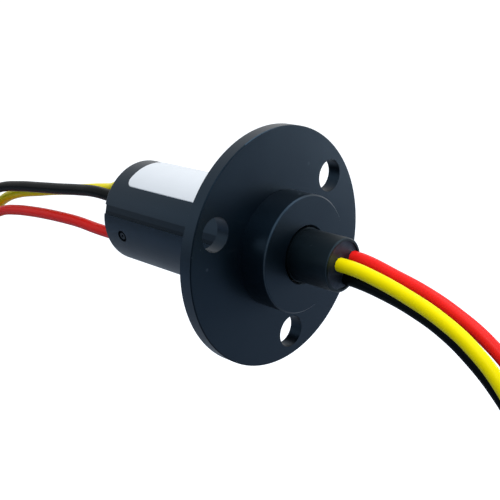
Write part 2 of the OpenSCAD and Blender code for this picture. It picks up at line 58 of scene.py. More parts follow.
def make_camera():
    data = bpy.data.cameras.new("camera")
    data.sensor_width = FILM_WIDTH
    data.lens = CAMERA_LENS
    data.clip_start = 0.01
    data.clip_end = 100
    camera = bpy.data.objects.new("camera", data)
    camera.location = Vector(CAMERA_PLACE_MM) * MM
    camera.rotation_euler = (
        math.radians(90 - CAMERA_ELEVATION),
        0,
        math.radians(CAMERA_AZIMUTH),
    )
    bpy.context.collection.objects.link(camera)
    bpy.context.scene.camera = camera


# ---- Free leads ----

LEAD_MM = 2.5
LEAD_PITCH_MM = 2.6
COIL_RADIUS_MM = 16.4
COIL_STEPS_A_TURN = 24
CURL_IN = 30          # last degrees of a coil, over which the lead leaves the winding
CURL_DEPTH_MM = LEAD_MM / 2
STRIP_MM = 6
COLOURS = ("red", "yellow", "black")
CORD_ROUNDNESS = 3    # bevel resolution of a cord
CORD_STEPS = 6        # steps between two of its points

# The same points as in the part's source, from the face that the lead leaves
STATOR_FACE_MM = -36.3
STATOR_TURNS = 1.9
STATOR_ROUTES = {
    "red": [(0, -4.6, -5.3), (-5, -4.6, -5.35), (-11, -4.6, -5.35), (-17.5, -4.6, -5.15),
            (-24, -4.6, -5.35), (-30.5, -4.6, -5.75), (-37, -4.6, -6.35), (-43.5, -4.6, -7.2),
            (-50, -4.5, -8.6), (-56, -4.4, -11.2), (-61, -4.2, -15), (-64, -4, -19.6),
            (-65, -4, -24.5), (-65, -4, -29)],
    "yellow": [(0, -4.1, 5.65), (-1.2, -4.08, 5.6), (-3.4, -3.88, 5.1), (-6, -3.45, 4.15),
               (-9.2, -3.3, 3.52), (-12.8, -3.1, 2.87), (-18.5, -3, 1.75), (-26.4, -3, 0.45),
               (-34.9, -3, -1.28), (-44, -2.8, -3.3),
               (-51.5, -2.4, -5.9), (-57.5, -1.9, -9.5), (-62, -1.5, -14.2),
               (-64.5, -1.4, -19.5), (-65, -1.4, -24.5), (-65, -1.4, -29)],
    "black": [(0, -6.05, 3.5), (-3, -6.05, 3.52), (-9, -6, 3.5), (-14.9, -5.75, 2.8),
              (-22.6, -5.7, 1.75), (-30.8, -5.7, 0.72), (-39.5, -5.8, -0.42), (-47.5, -6, -2),
              (-54, -6.3, -4.6), (-59, -6.5, -8.6), (-62.5, -6.6, -13.4),
              (-64.5, -6.6, -18.8), (-65, -6.6, -24), (-65, -6.6, -29)],
}
ROTOR_FACE_MM = 16.7
ROTOR_TURNS = 2.3
ROTOR_ROUTES = {
    "red": [(0, 2.85, 0.7), (2.5, 2.85, 0.6), (9, 2.85, -0.7), (15, 2.85, -2.1),
            (21, 2.8, -4.2), (27, 2.7, -7.2), (32, 2.65, -11.2), (36, 2.6, -16.1),
            (38.5, 2.6, -21.5), (39.3, 2.6, -26), (39.3, 2.6, -30)],
    "yellow": [(0, -0.9, 0.3), (3, -0.9, 0.25), (8, -0.9, -0.5), (14, -0.9, -1.95),
               (20.5, -1.2, -3.95), (26.5, -1.6, -6.85), (32, -2.1, -11.1), (36, -2.5, -16.1),
               (38.5, -2.6, -21.5), (39.3, -2.6, -26), (39.3, -2.6, -30)],
    "black": [(0, 1.15, -2.6), (2.5, 1.15, -2.65), (8.5, 1.15, -3.45), (14, 1.1, -4.7),
              (20, 0.9, -6.8), (25.5, 0.7, -9.95), (30.5, 0.5, -14), (34.5, 0.3, -18.45),
              (37.6, 0.1, -23), (39.1, 0, -27), (39.3, 0, -30)],
}
# By end, which is also the name of its body: the routes and the face they leave, the side
# of its coil (1 where that lies beyond the leads in -X, and -1 in +X), the coil's turns,
# and the lead in the middle of it
ENDS = {
    "stator": (STATOR_ROUTES, STATOR_FACE_MM, 1, STATOR_TURNS, "red"),
    "rotor": (ROTOR_ROUTES, ROTOR_FACE_MM, -1, ROTOR_TURNS, "black"),
}


def coil_centre(last, side):
    """Centre of the coil that a lead enters at last, heading down."""
    return Vector((last[0] - side * COIL_RADIUS_MM, last[1], last[2]))


def coil_angle(side, swept):
    """Angle round a coil, from +X towards +Z, once a lead has swept so many degrees of it."""
    return (0 if side > 0 else 180) - side * swept


def coil_points(last, side, turns):
    """The turns of a lead that enters its coil at last, heading down."""
    centre = coil_centre(last, side)
    count = round(turns * COIL_STEPS_A_TURN)
    points = []
    for step in range(1, count + 1):
        swept = 360 * turns * step / count
        radius = COIL_RADIUS_MM - LEAD_PITCH_MM * swept / 360
        curl = max(0, swept - 360 * turns + CURL_IN) / CURL_IN
        radius -= CURL_DEPTH_MM * curl**2
        angle = math.radians(coil_angle(side, swept))
        points.append(centre + radius * Vector((math.cos(angle), 0, math.sin(angle))))
    return points


def coil_inside(turns):
    """Radius in millimetres of a coil's inner side, where the middles of its leads end too."""
    return COIL_RADIUS_MM - turns * LEAD_PITCH_MM - LEAD_MM / 2


def lead_path(route, face, side, turns):
    """All of a lead's points in metres, from its exit to the start of its stripped end."""
    free = [Vector((x + face, y, z)) for x, y, z in route]
    return [point * MM for point in free + coil_points(free[-1], side, turns)]


def tube_curve(name, points, diameter):
    """A smooth round cord through the points."""
    data = bpy.data.curves.new(name, "CURVE")
    data.dimensions = "3D"
    data.bevel_depth = diameter / 2
    data.bevel_resolution = CORD_ROUNDNESS
    data.use_fill_caps = True
    data.resolution_u = CORD_STEPS
    spline = data.splines.new("BEZIER")
    spline.bezier_points.add(len(points) - 1)
    for knot, point in zip(spline.bezier_points, points):
        knot.co = point
        knot.handle_left_type = "AUTO"
        knot.handle_right_type = "AUTO"
    piece = bpy.data.objects.new(name, data)
    bpy.context.collection.objects.link(piece)
    return piece


# ---- Shader groups that several finishes share ----

RADIAN = math.pi / 180    # radians a degree
HOLE_SPACING = 120.0      # degrees between two of the flange's holes
RIM_RADIUS_MM = 22.25
FLANGE_FRONT_MM = 2.7
RIM_EDGE_MM = 0.2         # width of the painted dark strip on the flange's front edge
RIM_TURN = 202.0          # the middle of the strip's stretch,
RIM_REACH = 0.05          # and the cosine of its half length
BARREL_FRONT_MM = -0.1    # the barrel lies behind this place
GROOVE_SHADOW = 0.28      # how much gloss painted shade takes from the groove,
GROOVE_LINE_SHADOW = 0.3  # how much more so along its lower side,
GROOVE_LINE_TURN = 171.0  # and where that is
GROOVE_LINE_HALF = 1.3
WALL_SHADOW = 0.25        # how much gloss painted shade takes from the mounting holes' walls
MARK_CORE = 0.6           # share of a pale mark's size that has its full strength
# (along, radius, turn), size and strength of the housing's small pale marks
HOUSING_MARKS = (
    ((6.9, 10.8, 90.0), 0.3, 1.0),
    ((2.7, 18.5, 179.0), 0.35, 0.3),
    ((2.7, 16.2, 63.5), 0.4, 0.2),
)


def new_group(name, inputs, outputs):
    """An empty shader group with its two end nodes; inputs and outputs are (name, type, value)."""
    tree = bpy.data.node_groups.new(name, "ShaderNodeTree")
    for label, kind, value in inputs:
        made = tree.interface.new_socket(name=label, in_out="INPUT", socket_type=kind)
        if value is not None:
            made.default_value = value
    for label, kind in outputs:
        tree.interface.new_socket(name=label, in_out="OUTPUT", socket_type=kind)
    start = tree.nodes.new("NodeGroupInput")
    end = tree.nodes.new("NodeGroupOutput")
    return tree, start, end


def math_node(tree, operation, first, second=None, third=None, clamp=False):
    """A Math node; each operand is a number or a socket. Returns the result's socket."""
    node = tree.nodes.new("ShaderNodeMath")
    node.operation = operation
    node.use_clamp = clamp
    for slot, value in enumerate((first, second, third)):
        if value is None:
            continue
        if isinstance(value, (int, float)):
            node.inputs[slot].default_value = value
        else:
            tree.links.new(value, node.inputs[slot])
    return node.outputs[0]


def noise(tree, vector, scale, detail=2.0, roughness=0.5):
    """A noise from 0 to 1; scale is a number or a socket. Returns its socket."""
    node = tree.nodes.new("ShaderNodeTexNoise")
    node.inputs["Detail"].default_value = detail
    node.inputs["Roughness"].default_value = roughness
    if isinstance(scale, (int, float)):
        node.inputs["Scale"].default_value = scale
    else:
        tree.links.new(scale, node.inputs["Scale"])
    tree.links.new(vector, node.inputs["Vector"])
    return node.outputs["Fac"]


def spread(tree, value, low, high, new_low=0.0, new_high=1.0):
    """Map Range with clamping."""
    node = tree.nodes.new("ShaderNodeMapRange")
    node.clamp = True
    for key, number in (("From Min", low), ("From Max", high),
                        ("To Min", new_low), ("To Max", new_high)):
        node.inputs[key].default_value = number
    tree.links.new(value, node.inputs["Value"])
    return node.outputs["Result"]


def make_moulded_skin():
    """Fine grain and slow cloudiness of a moulded plastic: a shade mask and a height."""
    tree, start, end = new_group(
        "moulded_skin",
        [("Vector", "NodeSocketVector", None),
         ("Grain Scale", "NodeSocketFloat", 9000.0),
         ("Cloud Scale", "NodeSocketFloat", 120.0)],
        [("Shade", "NodeSocketFloat"), ("Height", "NodeSocketFloat")])
    grain = noise(tree, start.outputs["Vector"], start.outputs["Grain Scale"], 3.0, 0.6)
    cloud = noise(tree, start.outputs["Vector"], start.outputs["Cloud Scale"], 4.0, 0.55)
    mixed = math_node(tree, "MULTIPLY_ADD", grain, 0.35, math_node(tree, "MULTIPLY", cloud, 0.65))
    tree.links.new(mixed, end.inputs["Shade"])
    tree.links.new(grain, end.inputs["Height"])
    return tree


def make_dust():
    """Sparse pale specks and short scuffs, as two masks."""
    tree, start, end = new_group(
        "dust_and_scuffs",
        [("Vector", "NodeSocketVector", None),
         ("Speck Scale", "NodeSocketFloat", 420.0),
         ("Speck Size", "NodeSocketFloat", 0.06),
         ("Scuff Scale", "NodeSocketFloat", 160.0)],
        [("Specks", "NodeSocketFloat"), ("Scuffs", "NodeSocketFloat")])
    cells = tree.nodes.new("ShaderNodeTexVoronoi")
    cells.feature = "F1"
    tree.links.new(start.outputs["Vector"], cells.inputs["Vector"])
    tree.links.new(start.outputs["Speck Scale"], cells.inputs["Scale"])
    near = math_node(tree, "LESS_THAN", cells.outputs["Distance"], start.outputs["Speck Size"])
    chosen = noise(tree, start.outputs["Vector"], 95.0, 1.0)
    specks = math_node(tree, "MULTIPLY", near, spread(tree, chosen, 0.56, 0.62))
    tree.links.new(specks, end.inputs["Specks"])
    stretch = tree.nodes.new("ShaderNodeMapping")
    stretch.inputs["Scale"].default_value = (1.0, 1.0, 5.0)
    stretch.inputs["Rotation"].default_value = (0.6, 0.3, 0.2)
    tree.links.new(start.outputs["Vector"], stretch.inputs["Vector"])
    streak = noise(tree, stretch.outputs["Vector"], start.outputs["Scuff Scale"], 2.0, 0.4)
    patch = noise(tree, start.outputs["Vector"], 55.0, 1.0)
    scuffs = math_node(tree, "MULTIPLY",
                       spread(tree, streak, 0.66, 0.74), spread(tree, patch, 0.54, 0.66))
    tree.links.new(scuffs, end.inputs["Scuffs"])
    return tree


def around_axis(tree, vector):
    """Place along the spin axis, distance from it and turn from +Y towards +Z, as sockets.

    The first two are in millimetres and the turn is in degrees, from 0 to 360.
    """
    parts = tree.nodes.new("ShaderNodeSeparateXYZ")
    tree.links.new(vector, parts.inputs[0])
    along = math_node(tree, "MULTIPLY", parts.outputs["X"], 1 / MM)
    up = math_node(tree, "MULTIPLY", parts.outputs["Z"], 1 / MM)
    across = math_node(tree, "MULTIPLY", parts.outputs["Y"], 1 / MM)
    squares = math_node(tree, "MULTIPLY_ADD", up, up, math_node(tree, "MULTIPLY", across, across))
    radius = math_node(tree, "SQRT", squares)
    angle = math_node(tree, "MULTIPLY", math_node(tree, "ARCTAN2", up, across), 1 / RADIAN)
    return along, radius, math_node(tree, "FLOORED_MODULO", angle, 360.0)


def near_point(tree, along, radius, turn, place, size):
    """Mask of a soft round spot; place is (along, radius, turn) in millimetres and degrees."""
    side = math_node(tree, "MULTIPLY",
                     math_node(tree, "SUBTRACT", turn, place[2]), place[1] * RADIAN)
    gap_x = math_node(tree, "SUBTRACT", along, place[0])
    gap_r = math_node(tree, "SUBTRACT", radius, place[1])
    total = math_node(tree, "MULTIPLY", side, side)
    for gap in (gap_x, gap_r):
        total = math_node(tree, "MULTIPLY_ADD", gap, gap, total)
    return spread(tree, math_node(tree, "SQRT", total), MARK_CORE * size, size, 1.0, 0.0)


def make_edge_ring():
    """Painted highlight mask: a thin, slightly broken ring round the spin axis, at an outer edge.
    """
    tree, start, end = new_group(
        "edge_ring",
        [("Vector", "NodeSocketVector", None),
         ("Edge Place", "NodeSocketFloat", 8.5),
         ("Edge Radius", "NodeSocketFloat", 10.8),
         ("Edge Width", "NodeSocketFloat", 0.27)],
        [("Mask", "NodeSocketFloat")])
    along, radius, _ = around_axis(tree, start.outputs["Vector"])
    width = start.outputs["Edge Width"]
    mask = None
    for value, middle in ((along, "Edge Place"), (radius, "Edge Radius")):
        off = math_node(tree, "SUBTRACT", value, start.outputs[middle])
        inside = math_node(tree, "LESS_THAN", math_node(tree, "ABSOLUTE", off), width)
        mask = inside if mask is None else math_node(tree, "MULTIPLY", mask, inside)
    painted_share = spread(tree, noise(tree, start.outputs["Vector"], 700.0, 3.0), 0.35, 0.6, 0.55, 1.0)
    tree.links.new(math_node(tree, "MULTIPLY", mask, painted_share), end.inputs["Mask"])
    return tree


def hole_walls(tree, start, radius, turn):
    """Mask of the places within the hole radius of a hole's axis."""
    half = HOLE_SPACING / 2
    from_hole = math_node(tree, "SUBTRACT", turn, start.outputs["Hole Turn"])
    shifted = math_node(tree, "ADD", from_hole, half)
    folded = math_node(tree, "FLOORED_MODULO", shifted, HOLE_SPACING)
    swing = math_node(tree, "MULTIPLY", math_node(tree, "SUBTRACT", folded, half), RADIAN)
    reach = math_node(tree, "MULTIPLY", radius, math_node(tree, "COSINE", swing))
    out = math_node(tree, "SUBTRACT", reach, start.outputs["Hole Circle"])
    side = math_node(tree, "MULTIPLY", radius, math_node(tree, "SINE", swing))
    squares = math_node(tree, "MULTIPLY_ADD", out, out, math_node(tree, "MULTIPLY", side, side))
    apart = math_node(tree, "SQRT", squares)
    return math_node(tree, "LESS_THAN", apart, start.outputs["Hole Radius"])


def make_housing_places():
    """Masks of the housing.

    Shadow is painted shade on its groove and hole walls, Rim a painted dark strip on part of
    its flange's front edge, and Marks its small pale marks.
    """
    tree, start, end = new_group(
        "housing_places",
        [("Vector", "NodeSocketVector", None),
         ("Groove Radius", "NodeSocketFloat", 10.35),
         ("Hole Circle", "NodeSocketFloat", 17.5),
         ("Hole Radius", "NodeSocketFloat", 3.12),
         ("Hole Turn", "NodeSocketFloat", 40.0)],
        [("Shadow", "NodeSocketFloat"), ("Rim", "NodeSocketFloat"), ("Marks", "NodeSocketFloat")])
    along, radius, turn = around_axis(tree, start.outputs["Vector"])

    # Painted shade: less gloss in the groove, more along its lower side, and on the holes' walls
    behind = math_node(tree, "LESS_THAN", along, BARREL_FRONT_MM)
    low = math_node(tree, "LESS_THAN", radius, start.outputs["Groove Radius"])
    groove = math_node(tree, "MULTIPLY", behind, low)
    off_line = math_node(tree, "ABSOLUTE", math_node(tree, "SUBTRACT", turn, GROOVE_LINE_TURN))
    line = math_node(tree, "LESS_THAN", off_line, GROOVE_LINE_HALF)
    dullness = math_node(tree, "MULTIPLY_ADD", line, GROOVE_LINE_SHADOW, GROOVE_SHADOW)
    deep = math_node(tree, "MULTIPLY", groove, dullness)
    wall = math_node(tree, "MULTIPLY", hole_walls(tree, start, radius, turn), WALL_SHADOW)
    tree.links.new(math_node(tree, "MAXIMUM", deep, wall), end.inputs["Shadow"])

    # Painted shade: a dark strip on part of the flange's front edge, without its highlight
    outer = math_node(tree, "GREATER_THAN", radius, RIM_RADIUS_MM - RIM_EDGE_MM)
    front = math_node(tree, "GREATER_THAN", along, FLANGE_FRONT_MM - RIM_EDGE_MM)
    away = math_node(tree, "MULTIPLY", math_node(tree, "SUBTRACT", turn, RIM_TURN), RADIAN)
    painted_share = math_node(tree, "GREATER_THAN", math_node(tree, "COSINE", away), RIM_REACH)
    strip = math_node(tree, "MULTIPLY", math_node(tree, "MULTIPLY", outer, front), painted_share)
    tree.links.new(strip, end.inputs["Rim"])

    marks = None
    for place, size, strength in HOUSING_MARKS:
        near = near_point(tree, along, radius, turn, place, size)
        spot = math_node(tree, "MULTIPLY", near, strength)
        marks = spot if marks is None else math_node(tree, "ADD", marks, spot)
    tree.links.new(marks, end.inputs["Marks"])
    return tree


SKIN = make_moulded_skin()
DUST = make_dust()
EDGE = make_edge_ring()
PLACES = make_housing_places()


# ---- Finishes ----

class Finish:
    """A material with one Principled shader, and helpers for the nodes in front of it."""

    def __init__(self, name, colour, roughness, metallic=0.0, specular=0.5, sheen_colour=None):
        self.material = bpy.data.materials.new(name)
        self.material.use_nodes = True
        self.material.diffuse_color = (*colour, 1.0)
        self.tree = self.material.node_tree
        self.shader = self.tree.nodes["Principled BSDF"]
        self.shader.inputs["Base Color"].default_value = (*colour, 1.0)
        self.shader.inputs["Roughness"].default_value = roughness
        self.shader.inputs["Metallic"].default_value = metallic
        self.shader.inputs["Specular IOR Level"].default_value = specular
        if sheen_colour:
            self.shader.inputs["Specular Tint"].default_value = (*sheen_colour, 1.0)
        self.place = self.tree.nodes.new("ShaderNodeTexCoord").outputs["Object"]

    def group(self, tree, **values):
        node = self.tree.nodes.new("ShaderNodeGroup")
        node.node_tree = tree
        self.tree.links.new(self.place, node.inputs["Vector"])
        for key, value in values.items():
            node.inputs[key.replace("_", " ").title()].default_value = value
        return node

    def mix(self, mask, low, high):
        """Colour from low to high as mask goes from 0 to 1; each colour is a tuple or a socket."""
        node = self.tree.nodes.new("ShaderNodeMix")
        node.data_type = "RGBA"
        self.tree.links.new(mask, node.inputs[0])
        for slot, value in ((6, low), (7, high)):
            if isinstance(value, tuple):
                node.inputs[slot].default_value = (*value, 1.0)
            else:
                self.tree.links.new(value, node.inputs[slot])
        return node.outputs[2]

    def colour(self, socket):
        self.tree.links.new(socket, self.shader.inputs["Base Color"])

    def roughness(self, socket):
        self.tree.links.new(socket, self.shader.inputs["Roughness"])

    def bump(self, height, strength, distance):
        node = self.tree.nodes.new("ShaderNodeBump")
        node.inputs["Strength"].default_value = strength
        node.inputs["Distance"].default_value = distance
        self.tree.links.new(height, node.inputs["Height"])
        self.tree.links.new(node.outputs["Normal"], self.shader.inputs["Normal"])


def shade(colour, factor):
    return tuple(min(1.0, part * factor) for part in colour)


DUST_COLOUR = (0.05, 0.065, 0.08)
# Colour of the painted highlight ring along an edge
EDGE_HIGHLIGHT_PAINT = (0.022, 0.028, 0.034)
SCUFF_STRENGTH = 0.12
SPECK_STRENGTH = 0.5
PAINTED_SHADE_GLOSS_CUTS = (("Shadow", -0.8), ("Rim", -0.6))    # how much gloss each painted shade mask takes
# Gloss that the painted highlight ring loses, where places is given
EDGE_HIGHLIGHT_GLOSS_CUT = -0.5
MOULDED_GRAIN = 0.12


def moulded(name, colour, roughness, specular,
            dust=0.0, sheen_colour=None, edge=None, places=False):
    """Satin moulded plastic with fine grain, slow cloudiness and, if asked, a little dust.

    edge is the (place, radius, width) of an edge with a painted highlight, a paler ring. places
    adds the housing's own masks with their painted shade, takes gloss from that ring, and needs an
    edge.
    """
    finish = Finish(name, colour, roughness, specular=specular, sheen_colour=sheen_colour)
    tree = finish.tree
    skin = finish.group(SKIN)
    base = finish.mix(skin.outputs["Shade"], shade(colour, 0.82), shade(colour, 1.2))
    if dust:
        marks = finish.group(DUST)
        faded = math_node(tree, "MULTIPLY", marks.outputs["Scuffs"], SCUFF_STRENGTH * dust)
        base = finish.mix(faded, base, DUST_COLOUR)
        specks = math_node(tree, "MULTIPLY", marks.outputs["Specks"], SPECK_STRENGTH * dust)
        base = finish.mix(specks, base, DUST_COLOUR)
    # Painted highlight: a paler ring along the edge
    if edge:
        ring = finish.group(EDGE, edge_place=edge[0], edge_radius=edge[1], edge_width=edge[2])
        base = finish.mix(ring.outputs["Mask"], base, EDGE_HIGHLIGHT_PAINT)
    if places:
        place = finish.group(PLACES)
        base = finish.mix(place.outputs["Marks"], base, DUST_COLOUR)
        # Painted shade and the painted highlight ring take gloss away
        gloss = 1.0
        for mask, change in PAINTED_SHADE_GLOSS_CUTS:
            gloss = math_node(tree, "MULTIPLY_ADD", place.outputs[mask], change, gloss)
        gloss = math_node(
            tree, "MULTIPLY_ADD", ring.outputs["Mask"], EDGE_HIGHLIGHT_GLOSS_CUT, gloss, clamp=True)
        level = math_node(tree, "MULTIPLY", gloss, specular)
        tree.links.new(level, finish.shader.inputs["Specular IOR Level"])
    finish.colour(base)
    finish.roughness(
        spread(tree, skin.outputs["Shade"], 0.3, 0.7, roughness - 0.04, roughness + 0.05))
    finish.bump(skin.outputs["Height"], MOULDED_GRAIN, 0.00003)
    return finish.material


def insulation(name, colour, roughness, specular, sheen_colour):
    """Extruded insulation: smooth, with faint waves and slight unevenness of colour."""
    finish = Finish(name, colour, roughness, specular=specular, sheen_colour=sheen_colour)
    slow = noise(finish.tree, finish.place, 140.0, 2.0)
    fine = noise(finish.tree, finish.place, 2600.0, 3.0, 0.6)
    finish.colour(finish.mix(slow, shade(colour, 0.9), shade(colour, 1.08)))
    finish.roughness(spread(finish.tree, fine, 0.3, 0.7, roughness - 0.05, roughness + 0.08))
    finish.bump(slow, 0.25, 0.0002)
    return finish.material


GROUND_LINES = 5200.0     # scale of the fine lines on turned metal


def ground_metal(name, colour, roughness):
    """Turned or ground metal, with fine lines that run round the spin axis."""
    finish = Finish(name, colour, roughness, metallic=1.0)
    lines = finish.tree.nodes.new("ShaderNodeTexWave")
    lines.wave_type = "BANDS"
    lines.bands_direction = "X"
    lines.inputs["Scale"].default_value = GROUND_LINES
    lines.inputs["Distortion"].default_value = 3.0
    lines.inputs["Detail"].default_value = 2.0
    finish.tree.links.new(finish.place, lines.inputs["Vector"])
    stain = noise(finish.tree, finish.place, 300.0, 3.0)
    finish.colour(finish.mix(stain, shade(colour, 0.85), shade(colour, 1.1)))
    finish.roughness(
        spread(finish.tree, lines.outputs["Fac"], 0.0, 1.0, roughness - 0.05, roughness + 0.1))
    finish.bump(lines.outputs["Fac"], 0.1, 0.00001)
    return finish.material


def label_film():
    """Blank white film with a faint paper-like unevenness."""
    white = (0.66, 0.69, 0.735)
    finish = Finish("label_film", white, 0.42, specular=0.4)
    slow = noise(finish.tree, finish.place, 180.0, 3.0)
    fibre = noise(finish.tree, finish.place, 6000.0, 3.0, 0.7)
    finish.colour(finish.mix(slow, shade(white, 0.96), shade(white, 1.03)))
    finish.roughness(spread(finish.tree, fibre, 0.3, 0.7, 0.38, 0.5))
    finish.bump(fibre, 0.1, 0.00002)
    return finish.material


def cast_resin():
    """Sealing compound: dull, slightly lumpy, with small pits."""
    colour = (0.006, 0.008, 0.012)
    finish = Finish("cast_resin", colour, 0.42, specular=0.45, sheen_colour=(0.42, 0.62, 1.0))
    lump = noise(finish.tree, finish.place, 700.0, 4.0, 0.6)
    pits = finish.tree.nodes.new("ShaderNodeTexVoronoi")
    pits.inputs["Scale"].default_value = 1500.0
    finish.tree.links.new(finish.place, pits.inputs["Vector"])
    hollow = spread(finish.tree, pits.outputs["Distance"], 0.05, 0.25)
    finish.colour(finish.mix(lump, shade(colour, 0.7), shade(colour, 1.35)))
    finish.roughness(spread(finish.tree, lump, 0.3, 0.7, 0.38, 0.5))
    height = math_node(finish.tree, "MULTIPLY_ADD", hollow, 0.25, lump)
    finish.bump(height, 0.3, 0.00006)
    return finish.material


def board_laminate():
    """Green solder mask over glass cloth, with a woven trace."""
    green = (0.012, 0.11, 0.045)
    finish = Finish("board_laminate", green, 0.35)
    weave = finish.tree.nodes.new("ShaderNodeTexBrick")
    weave.inputs["Scale"].default_value = 900.0
    weave.inputs["Color1"].default_value = (*shade(green, 0.9), 1)
    weave.inputs["Color2"].default_value = (*shade(green, 1.15), 1)
    weave.inputs["Mortar"].default_value = (*shade(green, 0.7), 1)
    finish.tree.links.new(finish.place, weave.inputs["Vector"])
    cloud = noise(finish.tree, finish.place, 260.0)
    finish.colour(finish.mix(cloud, weave.outputs["Color"], shade(green, 1.1)))
    finish.bump(weave.outputs["Fac"], 0.15, 0.00002)
    return finish.material


INNER_RED = (0.62, 0.04, 0.03)
INNER_YELLOW = (0.68, 0.62, 0.004)
INNER_BLACK = (0.006, 0.006, 0.008)


def inner_insulation(name, colours, first_end, last_start):
    """Three leads in one node, coloured by how far round the spin axis they lie.

    colours are the first, middle and last. The first ends and the last starts at an angle
    in degrees, from -Z towards +Y.
    """
    first, middle, last = colours
    finish = Finish(name, INNER_YELLOW, 0.35, specular=0.4)
    tree = finish.tree
    parts = tree.nodes.new("ShaderNodeSeparateXYZ")
    tree.links.new(finish.place, parts.inputs[0])
    angle = math_node(tree, "ARCTAN2", parts.outputs["Z"], parts.outputs["Y"])
    from_below = math_node(tree, "MULTIPLY_ADD", angle, 1 / RADIAN, 360 + 90)
    degrees = math_node(tree, "MODULO", from_below, 360)
    is_first = math_node(tree, "LESS_THAN", degrees, first_end)
    is_last = math_node(tree, "GREATER_THAN", degrees, last_start)
    grain = noise(tree, finish.place, 900.0)
    toned = finish.mix(grain, shade(middle, 0.92), shade(middle, 1.05))
    finish.colour(finish.mix(is_last, finish.mix(is_first, toned, first), last))
    return finish.material


BLUE_SHEEN = (0.28, 0.6, 1.0)
# The edge rings of the housing and the rotor are painted highlights; places adds painted shade
HOUSING = moulded("housing_plastic", (0.0007, 0.0016, 0.0026), 0.36, 0.39, dust=0.4,
                  sheen_colour=BLUE_SHEEN, edge=(8.5, 10.8, 0.2), places=True)
ROTOR_BLACK = moulded("rotor_plastic", (0.0006, 0.0013, 0.0019), 0.38, 0.28, dust=0.5,
                      sheen_colour=(0.42, 0.74, 1.0), edge=(17.0, 4.825, 0.12))
COVER_BLACK = moulded("cover_plastic", (0.0030, 0.0042, 0.0056), 0.42, 0.35,
                      sheen_colour=BLUE_SHEEN)
BARRIER_IVORY = moulded("barrier_plastic", (0.62, 0.58, 0.46), 0.45, 0.4)
SCREW_BLACK = ground_metal("black_screw_steel", (0.020, 0.026, 0.034), 0.45)
BEARING_STEEL = ground_metal("bearing_steel", (0.62, 0.63, 0.65), 0.18)
CAGE_BRASS = ground_metal("cage_brass", (0.62, 0.45, 0.17), 0.3)
GOLD = ground_metal("gold_plate", (0.85, 0.6, 0.2), 0.16)
TINNED = ground_metal("tinned_copper", (0.66, 0.65, 0.63), 0.3)
LABEL = label_film()
RESIN = cast_resin()
BOARD = board_laminate()
ROTOR_INNER = inner_insulation(
    "rotor_inner_insulation", (INNER_RED, INNER_YELLOW, INNER_BLACK), 200, 320)
STATOR_INNER = inner_insulation(
    "stator_inner_insulation", (INNER_YELLOW, INNER_BLACK, INNER_RED), 228, 290)
NYLON = moulded("tie_nylon", (0.72, 0.72, 0.68), 0.4, 0.45)
LEAD_FINISH = {
    "red": insulation("lead_red", (0.76, 0.012, 0.010), 0.34, 0.16, (1.0, 0.7, 0.7)),
    "yellow": insulation("lead_yellow", (0.84, 0.71, 0.0006), 0.34, 0.12, (1.0, 0.95, 0.3)),
    "black": insulation("lead_black", (0.0008, 0.0015, 0.0018), 0.34, 0.06, (0.7, 0.9, 1.0)),
}

NODE_FINISH = {
    "stator_housing": HOUSING,
    "rear_cover": COVER_BLACK,
    "cover_screws": SCREW_BLACK,
    "blank_label": LABEL,
    "front_bearing_outer": BEARING_STEEL,
    "front_bearing_inner": BEARING_STEEL,
    "front_bearing_balls": BEARING_STEEL,
    "front_bearing_cage": CAGE_BRASS,
    "rear_bearing_outer": BEARING_STEEL,
    "rear_bearing_inner": BEARING_STEEL,
    "rear_bearing_balls": BEARING_STEEL,
    "rear_bearing_cage": CAGE_BRASS,
    "brush_board": BOARD,
    "stator_inner_leads": STATOR_INNER,
    "stator_lead_seal": RESIN,
    "rotor_shaft": ROTOR_BLACK,
    "shaft_clip": BEARING_STEEL,
    "rotor_inner_leads": ROTOR_INNER,
    "rotor_lead_seal": RESIN,
}
for ring_number in (1, 2, 3):
    NODE_FINISH[f"collector_ring_{ring_number}"] = GOLD
    NODE_FINISH[f"brush_set_{ring_number}"] = GOLD
for barrier_number in (1, 2, 3, 4):
    NODE_FINISH[f"ring_barrier_{barrier_number}"] = BARRIER_IVORY


def finish_nodes():
    for name, material in NODE_FINISH.items():
        mesh_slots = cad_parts[name].material_slots
        if not mesh_slots:
            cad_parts[name].data.materials.append(material)
        for mesh_slot in mesh_slots:
            mesh_slot.material = material


def make_leads(end):
    """The three free leads of an end, with their coil."""
    routes, face, side, turns, _ = ENDS[end]
    for colour in COLOURS:
        path = lead_path(routes[colour], face, side, turns)
        lead = tube_curve(f"{end}_lead_{colour}_insulation", path, LEAD_MM * MM)
        lead.data.materials.append(LEAD_FINISH[colour])
        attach(lead, end)
        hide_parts(f"{end}_lead_{colour}", f"{end}_lead_coil")


# ---- Sealing compound round the rotor's leads ----

MOUTH_RADIUS_MM = 4.275
MOUTH_PLAY_MM = 0.02      # between the skin and the mouth's wall
SEAL_SKIN_MM = 0.15       # how far the skin reaches into the seal
SEAL_RISE_MM = 0.01       # how far its lowest part lies over the seal's face
WALL_CREEP_MM = 0.05      # how far the compound climbs the mouth's wall,
WALL_REACH_MM = 0.3       # and how far from the wall the rise has mostly gone
LEAD_CREEP_MM = 0.06      # the same at each lead
LEAD_REACH_MM = 0.22
LUMP_SEED = 5
LUMP_COUNT = 5
LUMP_MM = 0.006
LUMP_SCALES = (1.2, 3.4)  # radians a millimetre
SEAL_RINGS = 36
RING_CROWDING = 0.8       # under 1, the rings crowd towards the wall
SEAL_SPOKES = 96


